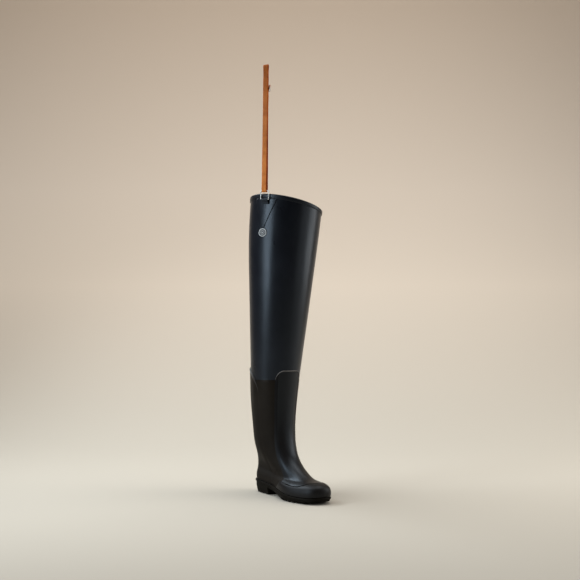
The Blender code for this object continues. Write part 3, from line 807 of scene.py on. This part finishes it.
binding_around = 240
binding_turns = np.arange(binding_around) * 2 * math.pi / binding_around
binding_grid = np.stack(
    [raised(binding_turns, level, np.full(binding_around, height)) for height, level in binding_profile()]
)
binding_faces = grid_faces(*binding_grid.shape[:2], closed=True)
binding_last = (len(binding_grid) - 1) * binding_around
for j in range(binding_around):
    k = (j + 1) % binding_around
    binding_faces.append((binding_last + j, binding_last + k, k, j))
binding_rubber = satin_rubber(
    "binding rubber",
    dark=(0.0060, 0.0066, 0.0090),
    bloom=(0.0110, 0.0118, 0.0150),
    roughness=0.36,
    gloss=0.24,
    tint=cool_sheen,
)
binding = mesh_piece("boot_collar_binding", binding_grid.reshape(-1, 3), binding_faces, [binding_rubber])
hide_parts("collar_binding")


# The strap's anchor patch
# A wedge of the shaft's own rubber sheet, cured on below the collar with its point down. It spreads the
# strap's pull over the thigh.

strap_turn = math.radians(110.5)
turn_per_metre = 1 / 0.0984  # round the thigh at the strap
anchor_thick = 0.0010
anchor_half = 0.0355  # half width below the binding
anchor_point = 0.002  # half width at its point
anchor_lean = 0.0023  # how far the point lies towards the back
anchor_gap = 0.0008
anchor_drop = 0.0817
badge_wide = 0.0132  # half width of the oval badge
badge_tall = 0.0104  # and half height
skin_gap = 0.00045
anchor_top = collar_level - binding_tall - anchor_gap
anchor_tall = anchor_drop - badge_tall - skin_gap
badge_level = anchor_top - anchor_drop


def anchor_place(up, across):
    half = anchor_point + (anchor_half - anchor_point) * up
    side = (2 * across - 1) * half - anchor_lean * (1 - up)
    return strap_turn + side * turn_per_metre, anchor_top - anchor_tall * (1 - up)


anchor = layer(
    "strap_anchor_patch",
    anchor_place,
    edge_shares(count=60, first=0.014),
    edge_shares(count=40, first=0.024),
    anchor_thick,
    [upper_rubber],
    gap=skin_gap,
)
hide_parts("strap_anchor")


# The badge
# A plain oval disc of grey rubber, moulded with a raised rim and rings that are left pale. It is cured on
# at the patch's point.

badge_thick = 0.0010
badge_middle = strap_turn - anchor_lean * turn_per_metre

Ring = namedtuple("Ring", "share height pale")

badge_rings = [
    Ring(0.16, 1.00, True),
    Ring(0.20, 0.60, False),
    Ring(0.38, 0.60, False),
    Ring(0.42, 0.95, True),
    Ring(0.50, 0.95, True),
    Ring(0.54, 0.60, False),
    Ring(0.76, 0.60, False),
    Ring(0.80, 1.00, True),
    Ring(0.95, 1.00, True),
    Ring(0.99, 0.80, True),
    Ring(1.00, 0.55, False),
    Ring(1.01, -1.20, False),
]
badge_around = 72
badge_angle = np.arange(badge_around) * 2 * math.pi / badge_around
badge_points = [raised(badge_middle, badge_level, skin_gap + badge_thick)]
for ring in badge_rings:
    badge_turn = badge_middle + ring.share * badge_wide * np.cos(badge_angle) * turn_per_metre
    badge_rise = badge_level + ring.share * badge_tall * np.sin(badge_angle)
    badge_height = np.full(badge_around, skin_gap + ring.height * badge_thick)
    badge_points += list(raised(badge_turn, badge_rise, badge_height))
badge_faces = [(0, 1 + j, 1 + (j + 1) % badge_around) for j in range(badge_around)]
badge_pale = [True] * badge_around
for i in range(len(badge_rings) - 1):
    low = 1 + i * badge_around
    for j in range(badge_around):
        k = (j + 1) % badge_around
        badge_faces.append((low + j, low + badge_around + j, low + badge_around + k, low + k))
        badge_pale.append(badge_rings[i].pale and badge_rings[i + 1].pale)
badge_faces.append(tuple(range(len(badge_points) - badge_around, len(badge_points)))[::-1])
badge_pale.append(False)
badge = mesh_piece(
    "oval_badge",
    badge_points,
    badge_faces,
    [
        satin_rubber("badge rubber", (0.060, 0.066, 0.074), (0.095, 0.102, 0.110), roughness=0.55),
        satin_rubber("badge rings", (0.36, 0.38, 0.39), (0.48, 0.50, 0.51), roughness=0.60),
    ],
    math.radians(25),
)
for face, pale in zip(badge.data.polygons, badge_pale):
    face.material_index = int(pale)
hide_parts("badge")


# The loop's keeper
# A short rubber strip folded round the loop's lower bar, with both ends cured to the patch, one on the
# other. The loop can swing in it.

ring_wire = 0.0015
ring_out = 0.0049  # the loop's plane, out from the wall
ring_low = -0.0150  # its lower bar, from the collar's edge
keeper_thick = 0.0012
keeper_half = 0.0112
seat_gap = 0.0003

Fall = namedtuple("Fall", "lift drop")

keeper_back = (0.0120, 0.0070, 0.0030)  # drops below the bar, behind it
keeper_front = [
    Fall(0.0027, 0.0025),
    Fall(0.0014, 0.0050),
    Fall(0.0003, 0.0080),
    Fall(0.0000, 0.0110),
]


def strap_axes():
    """The foot of the strap on the collar's edge, and the ways out from the wall and round it."""
    foot = skin(strap_turn, collar_level)
    normal = skin_normal(strap_turn, collar_level)
    away = np.array([normal[0], normal[1], 0.0])
    away /= np.linalg.norm(away)
    return foot, away, np.array([-away[1], away[0], 0.0])


strap_foot, strap_away, strap_round = strap_axes()


def strap_place(out, side, up):
    """A point out from the wall, round it, and up from the collar's edge."""
    return strap_foot + out * strap_away + side * strap_round + np.array([0.0, 0.0, up])


def arc(middle, radius, start, end, count):
    """Points of an arc; angles in degrees."""
    angle = np.radians(np.linspace(start, end, count))
    return np.stack([middle[0] + radius * np.cos(angle), middle[1] + radius * np.sin(angle)], -1)


def smooth_run(points, step):
    """A smooth run through points of a path, with a point about every step."""
    points = np.asarray(points, float)
    knots = np.concatenate([[0.0], np.cumsum(np.linalg.norm(np.diff(points, axis=0), axis=1))])
    return spline(knots, points)(np.linspace(0, knots[-1], int(knots[-1] / step) + 1))


strip_edges = (4, 5, 6, 7, 8, 13, 14, 15, 16, 17)  # faces of the section that are its edges


def strip(name, run, half, thick, finishes, edge=0.0006):
    """A flat strip with eased edges along a run of (out, up) points, closed at both ends.

    A second finish goes on its two edges.
    """
    ease = min(edge, thick * 0.45)
    section = [
        (-half + ease, -thick / 2),
        (-half * 0.5, -thick / 2),
        (0.0, -thick / 2),
        (half * 0.5, -thick / 2),
        (half - ease, -thick / 2),
        (half - ease * 0.3, -thick / 2 + ease * 0.3),
        (half, -thick / 2 + ease),
        (half, thick / 2 - ease),
        (half - ease * 0.3, thick / 2 - ease * 0.3),
    ]
    section += [(-side, -height) for side, height in section]  # the same, turned half round
    way = np.gradient(run, axis=0)
    way /= np.linalg.norm(way, axis=1, keepdims=True)
    across = np.stack([-way[:, 1], way[:, 0]], -1)
    points = []
    for place, lift in zip(run, across):
        for side, height in section:
            out, up = place + lift * height
            points.append(strap_place(out, side, up))
    count = len(section)
    faces = grid_faces(len(run), count, closed=True)
    faces.append(tuple(range(count))[::-1])
    faces.append(tuple(range((len(run) - 1) * count, len(run) * count)))
    piece = mesh_piece(name, points, faces, finishes, math.radians(50))
    if len(finishes) > 1:
        for face in piece.data.polygons[: (len(run) - 1) * count]:
            face.material_index = int(face.index % count in strip_edges)
    return piece


def keeper_run():
    round_bar = ring_wire + seat_gap + keeper_thick / 2
    back = ring_out - round_bar
    front = back + keeper_thick + seat_gap
    run = [(back, ring_low - drop) for drop in keeper_back]
    run += list(arc((ring_out, ring_low), round_bar, 180, 0, 9))
    run += [(front + row.lift, ring_low - row.drop) for row in keeper_front]
    return smooth_run(run, 0.0007)


# Painted sheen: its base colours are lighter than the shaft's rubber, so the keeper matches the shaft's
# highlight round it.
keeper_sheen_rubber = satin_rubber(
    "keeper rubber with painted sheen",
    dark=(0.0070, 0.0082, 0.0108),
    bloom=(0.0120, 0.0138, 0.0172),
    roughness=0.64,
    gloss=0.22,
    tint=cool_sheen,
)
keeper = strip("loop_keeper", keeper_run(), keeper_half, keeper_thick, [keeper_sheen_rubber])
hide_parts("ring_keeper")


# The strap's loop
# A rectangle of nickelled steel wire, bent round and butt welded. It joins the strap to the keeper, and
# its corners are round.

ring_half = 0.0133  # from the middle of the loop to the middle of each leg
ring_bend = 0.0025
ring_high = 0.0085  # its upper bar, from the collar's edge


def rounded_frame(half, low, high, radius):
    """The middle line of a rectangular loop of wire, as (side, up)."""
    corners = [
        ((half - radius, high - radius), 0),
        ((-half + radius, high - radius), 90),
        ((-half + radius, low + radius), 180),
        ((half - radius, low + radius), 270),
    ]
    return np.concatenate([arc(middle, radius, start, start + 90, 13) for middle, start in corners])


def wire_loop(name, out, line, radius, finish):
    """A closed loop of round wire in a plane out from the wall, along a line of (side, up)."""
    path = bpy.data.curves.new(name, "CURVE")
    path.dimensions = "3D"
    path.bevel_depth = radius
    path.bevel_resolution = 6
    path.materials.append(finish)
    run = path.splines.new("POLY")
    run.points.add(len(line) - 1)
    for point, (side, up) in zip(run.points, line):
        point.co = (*strap_place(out, side, up), 1.0)
    run.use_cyclic_u = True
    run.use_smooth = True
    piece = bpy.data.objects.new(name, path)
    bpy.context.scene.collection.objects.link(piece)
    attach(piece, "root")
    return piece


def drawn_steel(name):
    """Nickelled steel wire with fine draw marks and dulled patches."""
    finish, tree, shader = new_finish(name)
    patches = noise_of(tree, 160.0, 4.0, 0.6)
    tones = [(0.3, (0.30, 0.30, 0.28)), (0.7, (0.55, 0.55, 0.53))]
    tree.links.new(ramp_of(tree, patches, tones), shader.inputs["Base Color"])
    tree.links.new(spread_of(tree, noise_of(tree, 500.0, 3.0), 0.28, 0.42), shader.inputs["Roughness"])
    tree.links.new(bump_of(tree, noise_of(tree, 1500.0, 2.0), 0.00003, 0.5), shader.inputs["Normal"])
    shader.inputs["Metallic"].default_value = 1.0
    return finish


wire_steel = drawn_steel("drawn steel")
loop_line = rounded_frame(ring_half, ring_low, ring_high, ring_bend)
strap_loop = wire_loop("strap_wire_loop", ring_out, loop_line, ring_wire, wire_steel)
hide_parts("strap_loop")


# The hip strap
# One strip of tan harness leather. Its own end is folded round the buckle, it runs over the top, down
# through the wire loop and up again, and its tail goes through the buckle.

strap_half = 0.008
strap_thick = 0.0022
strap_part = 0.0002  # from the middle plane to each strand, where they lie together
strap_tall = 0.3502
strap_crown = 0.005  # height of the fold at the top
crown_spread = 1.6  # how much wider the strands stand in it
strap_lean = 0.006  # towards the leg, over the whole height
strap_join = 0.237  # height where the strands have come together
buckle_wire = 0.0012
buckle_low = 0.2762  # the bar that the tail goes under
buckle_high = 0.2917  # the bar that the strap's own end is folded round
tail_part = 0.0005  # between the tail and the fold that it passes over

Tail = namedtuple("Tail", "share up")

strap_tail = [
    Tail(0.00, -0.0220),
    Tail(0.00, -0.0060),
    Tail(0.00, 0.0000),
    Tail(0.25, 0.0045),
    Tail(0.85, 0.0095),
    Tail(1.00, 0.0145),
    Tail(0.97, 0.0190),
]


def lean(up):
    """Middle of the strap's two strands at this height."""
    return ring_out - strap_lean * up / strap_tall


strand = strap_thick / 2 + strap_part
buckle_fold = buckle_wire + seat_gap + strap_thick / 2
buckle_out = lean(buckle_high) - strand - buckle_fold


def strap_run():
    run = list(arc((buckle_out, buckle_high), buckle_fold, 200, 360, 9))
    crown = strap_tall - strap_thick / 2 - strap_crown
    below_crown = crown - 2 * strap_crown
    for up in np.linspace(buckle_high + 3 * buckle_fold, below_crown, 3):
        run.append((lean(up) - strand, up))
    for angle in np.radians(np.linspace(180, 0, 9)):
        across = crown_spread * strand * math.cos(angle)
        run.append((lean(crown) + across, crown + strap_crown * math.sin(angle)))
    for up in np.linspace(below_crown, strap_join, 5)[:-1]:
        run.append((lean(up) + strand, up))
    round_bar = ring_wire + seat_gap + strap_thick / 2
    climb = np.linspace(0, strap_join, 8)[1:]
    part = strand + (round_bar - strand) * (1 - smooth_step(0, strap_join, climb))
    run += list(zip(lean(climb) + part, climb))[::-1]
    run += list(arc((ring_out, ring_high), round_bar, 0, -180, 11))
    run += list(zip(lean(climb) - part, climb))
    near = lean(buckle_low) - strand
    over = buckle_out - buckle_fold - strap_thick - tail_part
    run += [(near + (over - near) * row.share, buckle_low + row.up) for row in strap_tail]
    return smooth_run(run, 0.0012)


def harness_leather(name, deep, mid, pale, roughness):
    """Tan leather: a mottled dye, creases, a fine pore grain and a waxed sheen."""
    finish, tree, shader = new_finish(name)
    mottle = noise_of(tree, 45.0, 5.0, 0.65, 0.4)
    tones = [(0.28, deep), (0.5, mid), (0.74, pale)]
    tree.links.new(ramp_of(tree, mottle, tones), shader.inputs["Base Color"])
    wax = noise_of(tree, 120.0, 3.0)
    tree.links.new(spread_of(tree, wax, roughness - 0.08, roughness + 0.10), shader.inputs["Roughness"])
    creases = bump_of(tree, noise_of(tree, 260.0, 4.0, 0.6, 1.0), 0.00025, 0.7)
    pores = bump_of(tree, noise_of(tree, 1600.0, 2.0), 0.00008, 0.8, creases)
    tree.links.new(pores, shader.inputs["Normal"])
    shader.inputs["Specular IOR Level"].default_value = 0.08
    return finish


def toned_by_height(finish, tones):
    """Multiplies the dye by tones that go from the strap's foot to its top."""
    tree = finish.node_tree
    colour = tree.nodes["Principled BSDF"].inputs["Base Color"]
    tone = ramp_of(tree, height_of(tree, strap_foot[2], strap_foot[2] + strap_tall), tones)
    dye = add_node(tree, "VectorMath")
    dye.operation = "MULTIPLY"
    tree.links.new(colour.links[0].from_socket, dye.inputs[0])
    tree.links.new(tone, dye.inputs[1])
    tree.links.new(dye.outputs["Vector"], colour)


tan_leather = harness_leather(
    "tan harness leather",
    deep=(0.338, 0.099, 0.020),
    mid=(0.481, 0.154, 0.031),
    pale=(0.590, 0.207, 0.048),
    roughness=0.60,
)
# Darker towards the top of the strap.
toned_by_height(
    tan_leather,
    [
        (0.13, (1.00, 1.00, 1.00)),
        (0.38, (0.88, 0.90, 0.91)),
        (0.61, (0.73, 0.69, 0.77)),
        (0.78, (0.69, 0.63, 0.59)),
        (0.97, (0.52, 0.41, 0.23)),
    ],
)
edge_leather = harness_leather(
    "burnished leather edge with painted shade",
    deep=(0.37, 0.074, 0.009),
    mid=(0.51, 0.110, 0.015),
    pale=(0.61, 0.152, 0.022),
    roughness=0.50,
)
# Darker and redder towards the strap's foot, where the two strands part: painted shade in the gap between
# them. Darker again near the top.
toned_by_height(
    edge_leather,
    [
        (0.38, (0.70, 0.50, 0.40)),
        (0.61, (0.90, 0.85, 0.90)),
        (0.78, (1.00, 1.00, 1.00)),
        (0.97, (0.75, 0.65, 0.60)),
    ],
)
strap_ease = 0.0007
strap = strip(
    "hip_strap_leather", strap_run(), strap_half, strap_thick, [tan_leather, edge_leather], strap_ease
)
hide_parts("hip_strap")


# The buckle
# A plain frame of thinner wire, bent and welded like the loop. The strap's own end is folded round its
# upper bar, and the tail passes under the lower one.

buckle_half = 0.0105
buckle_bend = 0.003
buckle_line = rounded_frame(buckle_half, buckle_low, buckle_high, buckle_bend)
buckle = wire_loop("strap_buckle", buckle_out, buckle_line, buckle_wire, wire_steel)
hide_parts("buckle")


# The studio
# A sweep of warm pale paper curves up behind the boot. Two cool window lights stand on the left, one of
# them high and towards the back. A warm fill stands on the right, a weak one in front to the right, and a
# broad soft light hangs overhead. The room in front stays dark.

view_turn = math.radians(56.5)
view_back = np.array([math.sin(view_turn), -math.cos(view_turn), 0.0])
view_right = np.array([math.cos(view_turn), math.sin(view_turn), 0.0])
upward = np.array([0.0, 0.0, 1.0])


def paper(name, floor, low, middle, top):
    """Seamless paper with tones painted by height as painted shade, in place of how the light falls on
    it: greyer on the floor, pale low on the wall, darker and warmer at the top.
    """
    finish, tree, shader = new_finish(name)
    height = height_of(tree, 0.0, sweep_tall)
    tone = ramp_of(tree, height, [(0.0, floor), (0.14, low), (0.26, middle), (0.52, top)])
    tree.links.new(tone, shader.inputs["Base Color"])
    tree.links.new(bump_of(tree, noise_of(tree, 300.0, 3.0), 0.0002, 0.3), shader.inputs["Normal"])
    shader.inputs["Roughness"].default_value = 0.95
    shader.inputs["Specular IOR Level"].default_value = 0.2
    return finish


sweep_near = 2.2
sweep_far = 0.7
sweep_round = 2.7
sweep_tall = 4.2
sweep_left = 2.4
sweep_right = 4.5
sweep_profile = [(sweep_near, 0.0), (0.0, 0.0), (-sweep_far, 0.0)]
for angle in np.radians(np.linspace(0, 90, 33)[1:]):
    depth = -sweep_far - sweep_round * math.sin(angle)
    sweep_profile.append((depth, sweep_round * (1 - math.cos(angle))))
sweep_profile.append((-sweep_far - sweep_round, sweep_tall))
sweep_columns = 9
sweep_points = [
    view_back * depth + view_right * side + upward * height
    for depth, height in sweep_profile
    for side in np.linspace(-sweep_left, sweep_right, sweep_columns)
]
# Painted shade: a darker floor and a darker, warmer top of the wall stand in for the studio's light
# fall-off.
sweep_paper = paper(
    "sweep paper",
    floor=(0.425, 0.395, 0.342),
    low=(0.62, 0.550, 0.468),
    middle=(0.605, 0.532, 0.455),
    top=(0.465, 0.386, 0.312),
)
sweep_faces = grid_faces(len(sweep_profile), sweep_columns)
sweep = smooth_mesh("paper_sweep", sweep_points, sweep_faces, [sweep_paper])


def soft_light(name, place, aim, width, height, power, colour, spread=180):
    """A soft box that faces its aim. A smaller spread, in degrees, keeps its light off the paper."""
    lamp = bpy.data.lights.new(name, "AREA")
    lamp.shape = "RECTANGLE"
    lamp.size = width
    lamp.size_y = height
    lamp.energy = power
    lamp.color = colour
    lamp.spread = math.radians(spread)
    light = bpy.data.objects.new(name, lamp)
    light.location = tuple(place)
    light.visible_camera = False
    away = place - aim
    light.rotation_euler = (
        math.atan2(math.hypot(away[0], away[1]), away[2]),
        0.0,
        math.atan2(away[0], -away[1]),
    )
    bpy.context.scene.collection.objects.link(light)


boot_middle = np.array([0.04, 0.0, 0.45])


def round_boot(turn, far, height):
    """A place this far from the boot; turn is in degrees to the right of the way to the camera."""
    way = view_back * math.cos(math.radians(turn)) + view_right * math.sin(math.radians(turn))
    return np.array([*(boot_middle + far * way)[:2], height])


daylight = (0.86, 0.94, 1.0)
lamplight = (1.0, 0.97, 0.93)
boot_ankle = boot_middle - upward * 0.35
soft_light("window_left", round_boot(-60, 2.15, 0.80), boot_middle, 0.85, 1.2, 9.5, daylight, 100)
soft_light("window_high", round_boot(-112, 1.8, 2.15), boot_ankle, 2.4, 0.9, 22.0, daylight, 100)
soft_light("fill_right", round_boot(95, 2.1, 1.05), boot_middle, 1.3, 1.8, 28.0, lamplight)
soft_light("fill_front", round_boot(61, 2.3, 0.7), boot_middle, 1.1, 1.8, 4.8, lamplight)
top_place = -view_back * 0.5 + upward * 3.6
paper_middle = -view_back * 1.8 + upward * 0.6
soft_light("overhead", top_place, paper_middle, 3.6, 2.6, 137.0, lamplight)

world = bpy.data.worlds.new("studio")
world.use_nodes = True
world.node_tree.nodes["Background"].inputs["Color"].default_value = (1.0, 0.96, 0.90, 1.0)
world.node_tree.nodes["Background"].inputs["Strength"].default_value = 0.05
bpy.context.scene.world = world
bpy.context.scene.view_settings.view_transform = "Standard"


# The camera
# Level, a little below the middle of the whole height, on the outer side and in front of the toe. Its
# focal length is given in pixels of the square frame.

camera_far = 3.2
camera_height = 0.5665
camera_aim = np.array([0.0501, 0.0318, camera_height])
focal_pixels, frame_pixels = 1147.0, 580.0
lens = bpy.data.cameras.new("camera")
lens.sensor_fit = "HORIZONTAL"
lens.sensor_width = 36.0
lens.lens = lens.sensor_width * focal_pixels / frame_pixels
camera = bpy.data.objects.new("camera", lens)
camera.location = tuple(camera_aim + view_back * camera_far)
camera.rotation_euler = (math.pi / 2, 0.0, view_turn)
bpy.context.scene.collection.objects.link(camera)
bpy.context.scene.camera = camera
